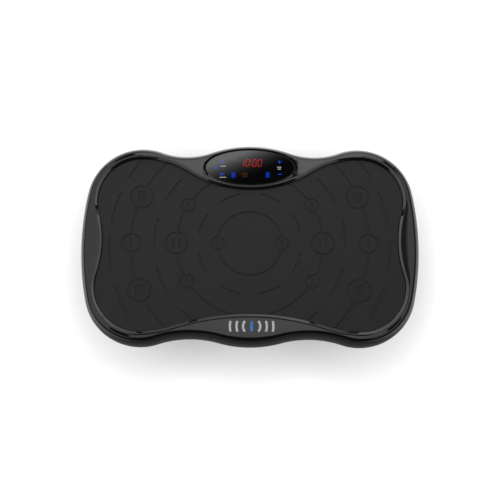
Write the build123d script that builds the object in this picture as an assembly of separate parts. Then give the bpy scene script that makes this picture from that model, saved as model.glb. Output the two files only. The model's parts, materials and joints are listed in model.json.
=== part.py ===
from build123d import *
import os
from math import asin, cos, degrees, radians, sin

# Slim oscillating vibration plate: a see-saw platform rocked by a belt-driven crankshaft.
# Millimetres. +X is to the user's right, +Y to the rear, where the display is, and +Z up.
# The origin is on the floor, under the middle of the machine.

# ------------------------------------------------------------- driving dimensions: casing
HEIGHT = 125.0                # floor to the lip round the mat, the highest point
COVER_TOP = 124.6             # flat of the cover outside the lip
REAR_Y = 159.4                # rearmost point of the skirt, on the middle line
# Outline of the skirt at its widest, as tangent arcs (radius, turn in degrees), turn > 0 convex.
# The chain starts on the middle line at the rear, and one more arc closes it at the front.
SKIRT_ARCS = [(189.7, 19.6), (111.4, -39.7), (88.9, 98.5), (417.7, 24.3), (87.4, 95.5),
              (162.6, -33.6)]
MAT_REAR_Y = 83.2
MAT_ARCS = [(181.2, -32.4), (135.7, 33.0), (67.7, 105.5), (172.9, -32.4), (68.8, 108.8),
            (186.8, 15.4)]

# Casing profiles: (height, distance inside the widest outline)
SKIRT_PROFILE = [(60, 7.0), (76, 2.2), (94, 0.0), (110, 2.2), (118, 5.4), (COVER_TOP, 9.6)]
TUB_PROFILE = [(14, 46.4), (24, 38.4), (50, 26.4), (82, 22.4)]
COVER_WALL = 3.0
TUB_WALL = 3.0

MAT_TOP = 123.0               # standing surface
MAT_THICK = 4.5
MAT_GAP = 0.6                 # between the mat's edge and the cover
LIP_REACH = 5.8               # outer edge of the lip, from the mat's edge
LIP_SLOPE, LIP_DROP = 3.4, 1.0   # width and fall of the lip's gentle inner slope
SCOOP_X = 256.0               # lowest points of the side scoops, near the skirt's edge
SCOOP_DEPTH = 3.2             # below the cover's flat
SCOOP_RADIUS = 770.0
HOLLOW_INSET = 15.0           # hollows under the cover's wide stretches, front and rear
HOLLOW_HALF = 120.0

LENS_Y = 119.8                # display window, an ellipse
LENS_HALF = (70.3, 28.2)
LENS_THICK = 2.6
LENS_SUNK = 2.6               # lens face below the cover's flat
LENS_GAP = 0.2
BEZEL_SLOPE = 2.6             # width of the slope round the window
LENS_LEDGE = 5.0              # width of the ledge that the window sits on

# Mat pattern: rings and dashes about one centre, with numbered nodes on the rings
PATTERN_Y = -3.2
GROOVE_WIDTH, GROOVE_DEPTH = 3.6, 0.9
RINGS = [50.0, 113.5, 184.0]
# (ring radius, dash length in degrees, centres in degrees from +X); mirrored to the left
DASHES = [
    (80.0, 21.5, [-67.5, -22.5, 22.5, 67.5]),
    (148.0, 17.5, [-54.4, -24.1, 6.2, 36.5]),
    (217.0, 12.9, [-25.2, -4.9, 15.4, 35.7]),
]
# (ring radius, degrees from +X, node radius, bars, bar length, bar pitch); mirrored too
KNOTS = [
    (50.0, 0.0, 9.7, 1, 12.7, 0.0),
    (113.5, 0.0, 16.8, 2, 17.2, 9.1),
    (113.5, 31.9, 10.1, 1, 12.7, 0.0),
    (113.5, -31.9, 10.1, 1, 12.7, 0.0),
    (184.0, 0.0, 14.1, 1, 16.8, 0.0),
    (184.0, 23.7, 17.4, 3, 19.2, 5.5),
    (184.0, -23.7, 17.4, 3, 19.2, 5.5),
]
BAR_WIDTH = 3.0

# Display board under the lens, and what stands on it, as (x, y)
DISPLAY_BOARD_TOP, DISPLAY_BOARD_SIZE = 111.0, (128.0, 40.0)
BOARD_THICK = 1.6
DIGIT_X, DIGIT_Y = 3.6, 127.2
DIGIT_BLOCK = (34.0, 17.0)
TOUCH_KEYS = [(-54.5, 119.0), (-44.3, 129.5), (-44.1, 109.0), (46.0, 129.0), (46.3, 109.1)]
LAMPS = [(-23.8, 132.0), (-26.8, 107.5), (-8.7, 107.7), (27.3, 107.8)]
RECEIVER_X = 57.0

# ------------------------------------------------------------- driving dimensions: chassis
FOOT_HEIGHT = 14.0
FOOT_X, FOOT_Y, FOOT_R = 172.0, 62.0, 24.0
PLATE_INSET = 51.4            # base plate, inside the widest outline
PLATE_THICK = 3.0
DECK_THICK = 3.0
DECK_INSET = 4.0              # deck plate, inside the mat's outline
RAIL_X, RAIL_Y, RAIL_DEPTH, RAIL_WALL = 200.0, 90.0, 15.0, 2.5
PIVOT_Z = 88.0                # rocking axis, along Y at x = 0
PIVOT_R = 6.0
LUG_Y, LUG_THICK = 48.0, 6.0
UPRIGHT_Y, UPRIGHT_THICK = 60.0, 8.0
BUSH_R, BUSH_LENGTH = 9.0, 11.0
RUNNING_FIT = 0.05            # radial clearance of every running fit
BUFFER_X, BUFFER_Y, BUFFER_TOP = 144.0, 60.0, 104.0
STUD_R, CHASSIS_BOLT_R = 4.0, 3.5
UPRIGHT_FOOT, BLOCK_FOOT = 6.0, 9.0

# ------------------------------------------------------------- driving dimensions: drive
CRANK_X, CRANK_Z = 60.0, 57.0
CRANK_THROW = 2.0
SHAFT_R = 7.5
SHAFT_HALF = 72.0
JOURNAL_R, JOURNAL_WIDTH = 14.0, 14.0
LINK_Y, LINK_THICK = 40.0, 12.0
LINK_PIN_Z = 89.5
LINK_PIN_R = 5.0
EYE_OUTER_R, EYE_BORE_R, EYE_BUSH_R = 14.5, 12.0, 9.6
BIG_END_R = 19.0
CHEEK_GAP, CHEEK_THICK = 1.5, 4.0
BEARING_Y, BEARING_OUTER_R, BEARING_WIDTH = 64.0, 17.5, 11.0
BALL_R, BALL_PITCH_R, BALL_COUNT = 2.9, 12.5, 9
MOTOR_X, MOTOR_Z, MOTOR_R = -88.0, 60.5, 35.5
MOTOR_Y0, MOTOR_Y1 = 17.0, 84.0
MOTOR_SHAFT_R = 4.0
BELT_WIDTH, BELT_THICK, BELT_GAP = 12.0, 2.4, 0.15
DRIVEN_PITCH_R, DRIVE_PITCH_R = 33.0, 11.0

# ------------------------------------------------------------- driving dimensions: electrics
PANEL_Y, PANEL_HALF, PANEL_Z0, PANEL_Z1 = 131.0, 60.0, 20.0, 57.0
PANEL_MID_Z = 38.5
INLET_X, SWITCH_X, FUSE_X = 0.0, 38.0, -36.0
ROCKER_R, ROCKER_TILT = 8.2, 7.0
BOARD_X, BOARD_SIZE, STANDOFF = 152.0, (80.0, 84.0), 12.0
SMALL_SCREW_R = 2.0

# ------------------------------------------------------------- derived
PLATE_Z = FOOT_HEIGHT + TUB_WALL
PLATE_TOP = PLATE_Z + PLATE_THICK
RECESS_Z = MAT_TOP - MAT_THICK
DECK_TOP = RECESS_Z - COVER_WALL
DECK_Z = DECK_TOP - DECK_THICK
LENS_TOP = COVER_TOP - LENS_SUNK
LENS_Z = LENS_TOP - LENS_THICK
CHEEK_Y = LINK_THICK / 2 + CHEEK_GAP
ROCK_LIMIT = degrees(asin(CRANK_THROW / CRANK_X))


# ------------------------------------------------------------- outlines
def arc_chain(start_y, arcs, inset):
    """Right half of an outline, as (start, middle, end) points of tangent arcs."""
    x, y, heading = 0.0, start_y - inset, 0.0
    chain = []
    for radius, turn in arcs + [(None, 180 - sum(turn for _, turn in arcs))]:
        side = 1 if turn > 0 else -1
        across = Vector(side * sin(heading), -side * cos(heading))
        reach = -x / across.X if radius is None else radius - side * inset
        centre = Vector(x, y) + across * reach
        spoke = Vector(x, y) - centre
        middle = centre + spoke.rotate(Axis.Z, -turn / 2)
        end = centre + spoke.rotate(Axis.Z, -turn)
        if radius is None:
            end = Vector(0, end.Y)
        chain.append((Vector(x, y), middle, end))
        x, y = end.X, end.Y
        heading -= radians(turn)
    return chain


def outline(start_y, arcs, z, inset):
    """Closed face at height z, symmetric about x = 0, with every edge moved in by inset."""
    edges = []
    for points in arc_chain(start_y, arcs, inset):
        edges.append(ThreePointArc(*points))
        edges.append(ThreePointArc(*[(-p.X, p.Y) for p in points]))
    return Pos(0, 0, z) * make_face(edges)


def skirt(z, inset):
    return outline(REAR_Y, SKIRT_ARCS, z, inset)


def mat_shape(z, grow):
    return outline(MAT_REAR_Y, MAT_ARCS, z, -grow)


def lens_shape(z, grow):
    return Pos(0, LENS_Y, z) * Ellipse(LENS_HALF[0] + grow, LENS_HALF[1] + grow)


# ------------------------------------------------------------- small helpers
def block(x, y, z):
    """Box from three (low, high) pairs."""
    centre = [(low + high) / 2 for low, high in (x, y, z)]
    return Pos(*centre) * Box(*[high - low for low, high in (x, y, z)])


def post(x, y, z0, z1, r):
    return Pos(x, y, (z0 + z1) / 2) * Cylinder(r, z1 - z0)


def axle(x, z, y0, y1, r):
    """Cylinder along Y."""
    return Pos(x, (y0 + y1) / 2, z) * Rot(90, 0, 0) * Cylinder(r, y1 - y0)


def tube(x, z, y0, y1, outer, inner):
    """Ring along Y."""
    return axle(x, z, y0, y1, outer) - axle(x, z, y0 - 1, y1 + 1, inner)


def hexagon(x, y, z0, z1, flats):
    profile = RegularPolygon(flats / 2, 6, major_radius=False)
    return Pos(x, y, z0) * extrude(profile, z1 - z0)


def group(pieces):
    return Compound(children=[solid for piece in pieces for solid in piece.solids()])


def corners(x, y):
    return [(side * x, end * y) for side in (-1, 1) for end in (-1, 1)]


def front_and_rear(piece):
    """A piece made for +Y, and its mirror image at -Y."""
    return [piece, mirror(piece, about=Plane.XZ)]


def screw(x, y, z, length, r):
    """Round-headed screw with its head under z and its thread above."""
    return post(x, y, z - 2.2, z, r * 1.9) + post(x, y, z, z + length, r)


# Fastener places, as (x, y)
COVER_SCREWS = corners(205, 70) + corners(110, 100)
DISPLAY_SCREWS = [(x, LENS_Y + y) for x, y in corners(62, 10)]
UPRIGHT_BOLTS = corners(19, UPRIGHT_Y + 16)
BLOCK_BOLTS = [(CRANK_X + x, y) for x, y in corners(25, BEARING_Y)]


# ------------------------------------------------------------- platform: cover, mat, display
def side_scoops():
    """Hollows between the lip's side waists and the skirt's edge."""
    lip = loft([mat_shape(DECK_TOP, LIP_REACH + 3), mat_shape(HEIGHT + 1, LIP_REACH - 0.3)])
    ball_z = COVER_TOP - SCOOP_DEPTH + SCOOP_RADIUS
    scoops = []
    for side in (-1, 1):
        ball = Pos(side * SCOOP_X, 0, ball_z) * Sphere(SCOOP_RADIUS)
        x = sorted((side * (SCOOP_X - 86), side * (SCOOP_X + 24)))
        reach = block(x, (-90, 90), (DECK_TOP, HEIGHT + 2))
        scoops.append((reach & ball) - lip)
    return scoops


def top_cover():
    body = loft([skirt(z, inset) for z, inset in SKIRT_PROFILE])
    body += extrude(mat_shape(RECESS_Z, LIP_REACH), HEIGHT - RECESS_Z)
    inner = [(z, inset + COVER_WALL) for z, inset in SKIRT_PROFILE if z < DECK_TOP]
    inner = [(inner[0][0] - 1, inner[0][1])] + inner[1:] + [(DECK_TOP, inner[-1][1] + 2.5)]
    body -= loft([skirt(z, inset) for z, inset in inner])
    body -= extrude(mat_shape(RECESS_Z, MAT_GAP), HEIGHT)
    body -= loft([mat_shape(HEIGHT - LIP_DROP, MAT_GAP), mat_shape(HEIGHT, MAT_GAP + LIP_SLOPE)])
    for scoop in side_scoops():
        body -= scoop
    # Hollows under the front crescent and the display bulge keep the wall even
    hollow = extrude(skirt(DECK_TOP - 0.5, HOLLOW_INSET), COVER_TOP - COVER_WALL - DECK_TOP + 0.5)
    hollow -= extrude(mat_shape(DECK_TOP - 1, MAT_GAP + COVER_WALL), HEIGHT)
    hollow &= block((-HOLLOW_HALF, HOLLOW_HALF), (-REAR_Y, REAR_Y), (0, HEIGHT))
    body -= hollow - extrude(lens_shape(LENS_Z - COVER_WALL, 1.5), HEIGHT)
    body -= extrude(lens_shape(LENS_Z, LENS_GAP), HEIGHT)
    body -= loft([lens_shape(LENS_TOP, LENS_GAP), lens_shape(HEIGHT, LENS_GAP + BEZEL_SLOPE)])
    body -= extrude(lens_shape(DECK_TOP - 1, -LENS_LEDGE), HEIGHT)
    for x, y in COVER_SCREWS:
        body -= post(x, y, DECK_Z, RECESS_Z - 1, SMALL_SCREW_R)
    return body


def mat_grooves():
    centre = Pos(0, PATTERN_Y, MAT_TOP - GROOVE_DEPTH)
    half = GROOVE_WIDTH / 2
    lines = Sketch()
    for radius in RINGS:
        lines += Circle(radius + half) - Circle(radius - half)
    for radius, sweep, centres in DASHES:
        for middle in centres:
            for angle in (middle, 180 - middle):
                arc = CenterArc((0, 0), radius, angle - sweep / 2, sweep)
                lines += SlotArc(arc, GROOVE_WIDTH)
    for radius, bearing, size, bars, length, pitch in KNOTS:
        for angle in (bearing, 180 - bearing):
            spot = Pos(radius * cos(radians(angle)), radius * sin(radians(angle)))
            lines -= spot * Circle(size)
            lines += spot * (Circle(size + half) - Circle(size - half))
            for number in range(bars):
                shift = (number - (bars - 1) / 2) * pitch
                lines += spot * Pos(shift, 0) * SlotOverall(length, BAR_WIDTH, rotation=90)
    return centre * extrude(lines, GROOVE_DEPTH + 1)


def rubber_mat():
    return extrude(mat_shape(RECESS_Z, 0), MAT_THICK) - mat_grooves()


def display_lens():
    return extrude(lens_shape(LENS_Z, 0), LENS_THICK)


def display_board():
    half_x, half_y = DISPLAY_BOARD_SIZE[0] / 2, DISPLAY_BOARD_SIZE[1] / 2
    z = (DISPLAY_BOARD_TOP - BOARD_THICK, DISPLAY_BOARD_TOP)
    board = block((-half_x, half_x), (LENS_Y - half_y - 1, LENS_Y + half_y - 1), z)
    return fillet(board.edges().filter_by(Axis.Z), 8)


def digit_display():
    """Four-digit seven-segment block behind the lens, on four pins."""
    half_x, half_y = DIGIT_BLOCK[0] / 2, DIGIT_BLOCK[1] / 2
    z = (DISPLAY_BOARD_TOP + 1, LENS_Z - 0.3)
    body = block((DIGIT_X - half_x, DIGIT_X + half_x), (DIGIT_Y - half_y, DIGIT_Y + half_y), z)
    for x in (-12, 12):
        for y in (-6, 6):
            body += post(DIGIT_X + x, DIGIT_Y + y, DISPLAY_BOARD_TOP, DISPLAY_BOARD_TOP + 1, 0.6)
    return body


def touch_springs():
    """Contact springs that carry the touch keys' fields up to the lens."""
    springs = []
    for x, y in TOUCH_KEYS:
        helix = Helix(pitch=2.0, height=LENS_Z - DISPLAY_BOARD_TOP - 1.2, radius=2.8)
        wire = sweep(Plane(origin=helix @ 0, z_dir=helix % 0) * Circle(0.3), helix)
        springs.append(Pos(x, y, DISPLAY_BOARD_TOP + 0.6) * wire)
    return group(springs)


def indicator_lamps():
    lamps = []
    for x, y in LAMPS:
        lamps.append(block((x - 2, x + 2), (y - 2, y + 2), (DISPLAY_BOARD_TOP, LENS_Z - 1)))
    return group(lamps)


def remote_receiver():
    x = (RECEIVER_X - 3, RECEIVER_X + 3)
    body = block(x, (LENS_Y - 3, LENS_Y + 3), (DISPLAY_BOARD_TOP, LENS_Z - 3))
    return body + Pos(RECEIVER_X, LENS_Y, LENS_Z - 3) * Sphere(2.2)


def board_posts():
    """Moulded posts that hang the display board from the cover's display bulge."""
    posts = []
    for x, y in DISPLAY_SCREWS:
        posts.append(post(x, y, DISPLAY_BOARD_TOP, LENS_Z - COVER_WALL, 3.2) - post(x, y, 0, HEIGHT, 1.2))
    return group(posts)


# ------------------------------------------------------------- platform: steelwork
def deck_plate():
    deck = extrude(mat_shape(DECK_Z, -DECK_INSET), DECK_THICK)
    for x, y in COVER_SCREWS:
        deck -= post(x, y, DECK_Z - 1, DECK_TOP + 1, SMALL_SCREW_R)
    return deck


def deck_rails():
    """Two angle sections along the deck's underside."""
    foot = block((-RAIL_X, RAIL_X), (RAIL_Y - 20, RAIL_Y), (DECK_Z - RAIL_WALL, DECK_Z))
    web = block((-RAIL_X, RAIL_X), (RAIL_Y - RAIL_WALL, RAIL_Y), (DECK_Z - RAIL_DEPTH, DECK_Z))
    rail = foot + web
    return group(front_and_rear(rail))


def pivot_lugs():
    """Plates that hang from the deck to the rocking axis."""
    y = (LUG_Y, LUG_Y + LUG_THICK)
    lug = block((-20, 20), y, (PIVOT_Z, DECK_Z - 4)) + axle(0, PIVOT_Z, *y, 14)
    lug += block((-20, 20), (LUG_Y - 22, LUG_Y + LUG_THICK), (DECK_Z - 4, DECK_Z))
    lug -= axle(0, PIVOT_Z, y[0] - 1, y[1] + 1, PIVOT_R)
    return group(front_and_rear(lug))


def pivot_pins():
    """Stub pins pressed in the lugs, which turn in the uprights' bushes."""
    pin = axle(0, PIVOT_Z, LUG_Y, UPRIGHT_Y + BUSH_LENGTH + 1, PIVOT_R)
    pin += axle(0, PIVOT_Z, LUG_Y - 3, LUG_Y, PIVOT_R + 3)
    return group(front_and_rear(pin))


def link_clevises():
    """Forked brackets under the deck, over the crankshaft's journals."""
    x = (CRANK_X - 10, CRANK_X + 10)
    fork = block(x, (LINK_Y - 14, LINK_Y + 14), (DECK_Z - 3.0, DECK_Z))
    for side in (-1, 1):
        y = sorted((LINK_Y + side * CHEEK_Y, LINK_Y + side * (CHEEK_Y + CHEEK_THICK)))
        fork += block(x, y, (LINK_PIN_Z, DECK_Z - 3.0)) + axle(CRANK_X, LINK_PIN_Z, *y, 10)
    fork -= axle(CRANK_X, LINK_PIN_Z, LINK_Y - 20, LINK_Y + 20, LINK_PIN_R)
    return group(front_and_rear(fork))


def clevis_pins():
    reach = CHEEK_Y + CHEEK_THICK
    pin = axle(CRANK_X, LINK_PIN_Z, LINK_Y - reach - 1.5, LINK_Y + reach, LINK_PIN_R)
    pin += axle(CRANK_X, LINK_PIN_Z, LINK_Y - reach - 3.5, LINK_Y - reach, LINK_PIN_R + 2)
    return group(front_and_rear(pin))


def cover_screws():
    """Screws up through the deck into the cover."""
    length = RECESS_Z - 1 - DECK_Z
    return group([screw(x, y, DECK_Z, length, SMALL_SCREW_R) for x, y in COVER_SCREWS])


# ------------------------------------------------------------- drive
def crankshaft():
    shaft = axle(CRANK_X, CRANK_Z, -SHAFT_HALF, SHAFT_HALF, SHAFT_R)
    for side in (-1, 1):
        y = (side * LINK_Y - JOURNAL_WIDTH / 2, side * LINK_Y + JOURNAL_WIDTH / 2)
        shaft += axle(CRANK_X + CRANK_THROW, CRANK_Z, *y, JOURNAL_R)
    return shaft


def pulley(x, z, pitch_r, bore_r):
    """Belt pulley with side flanges, on the middle plane."""
    half = BELT_WIDTH / 2 + 0.5
    radius = pitch_r - BELT_THICK / 2 - BELT_GAP
    wheel = axle(x, z, -half, half, radius)
    for side in (-1, 1):
        wheel += axle(x, z, *sorted((side * half, side * (half + 1.5))), pitch_r + 1.0)
    return wheel - axle(x, z, -2 * half, 2 * half, bore_r)


def driven_pulley():
    wheel = pulley(CRANK_X, CRANK_Z, DRIVEN_PITCH_R, SHAFT_R)
    for turn in range(6):
        angle = radians(60 * turn)
        wheel -= axle(CRANK_X + 20 * cos(angle), CRANK_Z + 20 * sin(angle), -20, 20, 5.5)
    return wheel


def drive_pulley():
    return pulley(MOTOR_X, MOTOR_Z, DRIVE_PITCH_R, MOTOR_SHAFT_R)


def drive_belt():
    """Closed belt round both pulleys, standing clear of them by a hair."""
    sheets = []
    for extra in (BELT_THICK / 2, -BELT_THICK / 2):
        small = Pos(MOTOR_X - CRANK_X, MOTOR_Z - CRANK_Z) * Circle(DRIVE_PITCH_R + extra)
        sheets.append(make_hull(Circle(DRIVEN_PITCH_R + extra).edges() + small.edges()))
    middle = Plane(origin=(CRANK_X, BELT_WIDTH / 2, CRANK_Z), x_dir=(1, 0, 0), z_dir=(0, -1, 0))
    return extrude(middle * (sheets[0] - sheets[1]), BELT_WIDTH)


def bearing_races(middle_y):
    """Outer ring, inner ring and balls of one deep-groove bearing."""
    y = (middle_y - BEARING_WIDTH / 2, middle_y + BEARING_WIDTH / 2)
    track = Pos(CRANK_X, middle_y, CRANK_Z) * Rot(90, 0, 0) * Torus(BALL_PITCH_R, BALL_R + RUNNING_FIT)
    outer = tube(CRANK_X, CRANK_Z, *y, BEARING_OUTER_R, BALL_PITCH_R + 2.2) - track
    inner = tube(CRANK_X, CRANK_Z, *y, BALL_PITCH_R - 2.2, SHAFT_R) - track
    balls = []
    for number in range(BALL_COUNT):
        angle = radians(360 * number / BALL_COUNT)
        x, z = BALL_PITCH_R * cos(angle), BALL_PITCH_R * sin(angle)
        balls.append(Pos(CRANK_X + x, middle_y, CRANK_Z + z) * Sphere(BALL_R))
    return outer, inner, balls


def bearing_blocks():
    """Pillow blocks that carry the crankshaft's bearings."""
    y = (BEARING_Y - 8, BEARING_Y + 8)
    body = axle(CRANK_X, CRANK_Z, *y, BEARING_OUTER_R + 5)
    body += block((CRANK_X - 16, CRANK_X + 16), y, (PLATE_TOP, CRANK_Z))
    body += block((CRANK_X - 32, CRANK_X + 32), y, (PLATE_TOP, PLATE_TOP + BLOCK_FOOT))
    body -= axle(CRANK_X, CRANK_Z, BEARING_Y - BEARING_WIDTH / 2, y[1] + 1, BEARING_OUTER_R)
    body -= axle(CRANK_X, CRANK_Z, y[0] - 1, y[1] + 1, BALL_PITCH_R + 1)
    for x, y in BLOCK_BOLTS:
        body -= post(x, y, 0, HEIGHT, CHASSIS_BOLT_R)
    return group(front_and_rear(body))


def link(side):
    """Rod from a journal up to the rubber-bushed eye under the deck."""
    y = (side * LINK_Y - LINK_THICK / 2, side * LINK_Y + LINK_THICK / 2)
    x = CRANK_X + CRANK_THROW
    rod = axle(x, CRANK_Z, *y, BIG_END_R) + axle(x, LINK_PIN_Z, *y, EYE_OUTER_R)
    rod += block((x - 8, x + 8), y, (CRANK_Z, LINK_PIN_Z))
    rod -= axle(x, CRANK_Z, y[0] - 1, y[1] + 1, JOURNAL_R + RUNNING_FIT)
    return rod - axle(x, LINK_PIN_Z, y[0] - 1, y[1] + 1, EYE_BORE_R)


def link_bush(side):
    y = (side * LINK_Y - LINK_THICK / 2, side * LINK_Y + LINK_THICK / 2)
    return tube(CRANK_X + CRANK_THROW, LINK_PIN_Z, *y, EYE_BORE_R, EYE_BUSH_R)


# ------------------------------------------------------------- motor
def motor_housing():
    can = tube(MOTOR_X, MOTOR_Z, MOTOR_Y0 + 5, MOTOR_Y1 - 5, MOTOR_R, MOTOR_R - 2.5)
    for turn in range(8):
        vent = block((-4, 4), (MOTOR_Y1 - 18, MOTOR_Y1 - 9), (MOTOR_R - 6, MOTOR_R + 6))
        can -= Pos(MOTOR_X, 0, MOTOR_Z) * Rot(0, 45 * turn + 22.5, 0) * vent
    return can


def motor_end_bells():
    bells = []
    for y in ((MOTOR_Y0, MOTOR_Y0 + 5), (MOTOR_Y1 - 5, MOTOR_Y1)):
        bells.append(tube(MOTOR_X, MOTOR_Z, *y, MOTOR_R, MOTOR_SHAFT_R + RUNNING_FIT))
    return group(bells)


def motor_magnets():
    ring = tube(MOTOR_X, MOTOR_Z, 26, 64, MOTOR_R - 2.5, MOTOR_R - 8)
    magnets = ring - block((MOTOR_X - 9, MOTOR_X + 9), (0, 100), (0, HEIGHT))
    return group([magnets])


def motor_armature():
    core = tube(MOTOR_X, MOTOR_Z, 28, 62, MOTOR_R - 9, MOTOR_SHAFT_R)
    for turn in range(12):
        slot = block((-1.5, 1.5), (26, 64), (MOTOR_R - 16, MOTOR_R))
        core -= Pos(MOTOR_X, 0, MOTOR_Z) * Rot(0, 30 * turn, 0) * slot
    return core


def motor_commutator():
    return tube(MOTOR_X, MOTOR_Z, 66, 76, 9, MOTOR_SHAFT_R)


def motor_brushes():
    """Carbon blocks either side of the commutator."""
    brushes = []
    for side in (-1, 1):
        x = sorted((MOTOR_X + side * 9.4, MOTOR_X + side * 24))
        brushes.append(block(x, (67.5, 74.5), (MOTOR_Z - 4, MOTOR_Z + 4)))
    return group(brushes)


def motor_shaft():
    return axle(MOTOR_X, MOTOR_Z, -12, MOTOR_Y1 + 3, MOTOR_SHAFT_R)


def motor_bracket():
    """Angle bracket with the motor's front face bolted to its upright leg."""
    x = (MOTOR_X - 40, MOTOR_X + 40)
    leg = block(x, (MOTOR_Y0 - 4, MOTOR_Y0), (PLATE_TOP, MOTOR_Z + MOTOR_R))
    foot = block(x, (MOTOR_Y0 - 4, MOTOR_Y0 + 60), (PLATE_TOP, PLATE_TOP + 4))
    bracket = leg + foot - axle(MOTOR_X, MOTOR_Z, 0, 30, 13)
    for side_x, side_z in corners(22, 22):
        bracket -= axle(MOTOR_X + side_x, MOTOR_Z + side_z, 0, 30, 2.5)
    return bracket


def motor_screws():
    screws = []
    for side_x, side_z in corners(22, 22):
        x, z = MOTOR_X + side_x, MOTOR_Z + side_z
        body = axle(x, z, MOTOR_Y0 - 4, MOTOR_Y0, 2.5) + axle(x, z, MOTOR_Y0 - 8, MOTOR_Y0 - 4, 4.5)
        screws.append(body)
    return group(screws)


# ------------------------------------------------------------- base
def pivot_uprights():
    """Brackets that carry the rocking axis, bolted to the base plate."""
    y = (UPRIGHT_Y, UPRIGHT_Y + UPRIGHT_THICK)
    side = Polygon((-27, PLATE_TOP), (27, PLATE_TOP), (15, PIVOT_Z), (-15, PIVOT_Z), align=None)
    web = extrude(Plane(origin=(0, y[1], 0), x_dir=(1, 0, 0), z_dir=(0, -1, 0)) * side, UPRIGHT_THICK)
    upright = web + axle(0, PIVOT_Z, *y, 15)
    upright += block((-27, 27), (UPRIGHT_Y, UPRIGHT_Y + 24), (PLATE_TOP, PLATE_TOP + UPRIGHT_FOOT))
    upright -= axle(0, PIVOT_Z, 0, 100, BUSH_R)
    for x, y in UPRIGHT_BOLTS:
        upright -= post(x, y, 0, HEIGHT, CHASSIS_BOLT_R)
    return group(front_and_rear(upright))


def pivot_bushes():
    bush = tube(0, PIVOT_Z, UPRIGHT_Y - 1.5, UPRIGHT_Y + BUSH_LENGTH - 1.5, BUSH_R, PIVOT_R + RUNNING_FIT)
    return group(front_and_rear(bush))


def base_plate():
    plate = extrude(skirt(PLATE_Z, PLATE_INSET), PLATE_THICK)
    for x, y in corners(FOOT_X, FOOT_Y):
        plate -= post(x, y, 0, HEIGHT, STUD_R)
    for x, y in UPRIGHT_BOLTS + BLOCK_BOLTS:
        plate -= post(x, y, 0, HEIGHT, CHASSIS_BOLT_R)
    return plate


def chassis_bolts():
    """Bolts that hold the uprights and bearing blocks down, with their heads on top."""
    bolts = []
    for spots, foot in ((UPRIGHT_BOLTS, UPRIGHT_FOOT), (BLOCK_BOLTS, BLOCK_FOOT)):
        seat = PLATE_TOP + foot
        for x, y in spots:
            bolts.append(post(x, y, PLATE_Z, seat, CHASSIS_BOLT_R) + hexagon(x, y, seat, seat + 5, 11))
    return group(bolts)


def panel_cutouts():
    """Holes through the tub's rear panel for the inlet, the switch and the fuse holder."""
    depth = (PANEL_Y - 20, PANEL_Y + 5)
    inlet = block((INLET_X - 13.6, INLET_X + 13.6), depth, (PANEL_MID_Z - 10, PANEL_MID_Z + 10))
    switch = block((SWITCH_X - 9.6, SWITCH_X + 9.6), depth, (PANEL_MID_Z - 6.5, PANEL_MID_Z + 6.5))
    return inlet + switch + axle(FUSE_X, PANEL_MID_Z, *depth, 6)


def base_tub():
    body = loft([skirt(z, inset) for z, inset in TUB_PROFILE])
    floor_inset = 45.6 + TUB_WALL
    inner = [(PLATE_Z, floor_inset)]
    inner += [(z, inset + TUB_WALL) for z, inset in TUB_PROFILE[1:]]
    body -= loft([skirt(z, inset) for z, inset in inner[:-1] + [(83, inner[-1][1] - 0.1)]])
    wide = (-PANEL_HALF, PANEL_HALF)
    body += block(wide, (PANEL_Y - 16, PANEL_Y), (PANEL_Z0, PANEL_Z1))
    body -= block((wide[0] - 8, wide[1] + 8), (PANEL_Y, PANEL_Y + 30), (PANEL_Z0, PANEL_Z1))
    body -= block((wide[0] + 3, wide[1] - 3), (PANEL_Y - 40, PANEL_Y - 3), (PANEL_Z0 + 3, PANEL_Z1 - 3))
    body -= panel_cutouts()
    for x, y in corners(FOOT_X, FOOT_Y):
        body -= post(x, y, 0, HEIGHT, STUD_R)
    return body


def rubber_feet():
    """Suction feet: a cup with a hollow underside."""
    profile = Polyline((STUD_R, FOOT_HEIGHT), (FOOT_R - 8, FOOT_HEIGHT), (FOOT_R - 5, 9), (FOOT_R, 0),
                       (FOOT_R - 2.5, 0), (0, 4), (0, 5), (STUD_R, 5), (STUD_R, FOOT_HEIGHT))
    foot = revolve(Plane.XZ * make_face(profile), Axis.Z)
    return group([Pos(x, y, 0) * foot for x, y in corners(FOOT_X, FOOT_Y)])


def foot_studs():
    """Studs moulded in the feet, up through the tub and the base plate."""
    return group([post(x, y, 5, PLATE_TOP + 10, STUD_R) for x, y in corners(FOOT_X, FOOT_Y)])


def foot_nuts():
    nuts = []
    for x, y in corners(FOOT_X, FOOT_Y):
        nuts.append(hexagon(x, y, PLATE_TOP, PLATE_TOP + 6.5, 13) - post(x, y, 0, HEIGHT, STUD_R))
    return group(nuts)


def buffer_posts():
    posts = []
    for x, y in corners(BUFFER_X, BUFFER_Y):
        posts.append(post(x, y, PLATE_TOP, BUFFER_TOP - 16, 10) + post(x, y, PLATE_TOP, PLATE_TOP + 4, 13))
    return group(posts)


def buffer_pads():
    """Rubber blocks that stop the deck past the crank's stroke."""
    return group([post(x, y, BUFFER_TOP - 16, BUFFER_TOP, 12) for x, y in corners(BUFFER_X, BUFFER_Y)])


# ------------------------------------------------------------- electrics
def control_board():
    z = PLATE_TOP + STANDOFF
    half_x, half_y = BOARD_SIZE[0] / 2, BOARD_SIZE[1] / 2
    return block((BOARD_X - half_x, BOARD_X + half_x), (-half_y, half_y), (z, z + BOARD_THICK))


def board_standoffs():
    spots = [(BOARD_X + x, y) for x, y in corners(BOARD_SIZE[0] / 2 - 5, BOARD_SIZE[1] / 2 - 5)]
    return group([hexagon(x, y, PLATE_TOP, PLATE_TOP + STANDOFF, 7) for x, y in spots])


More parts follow.
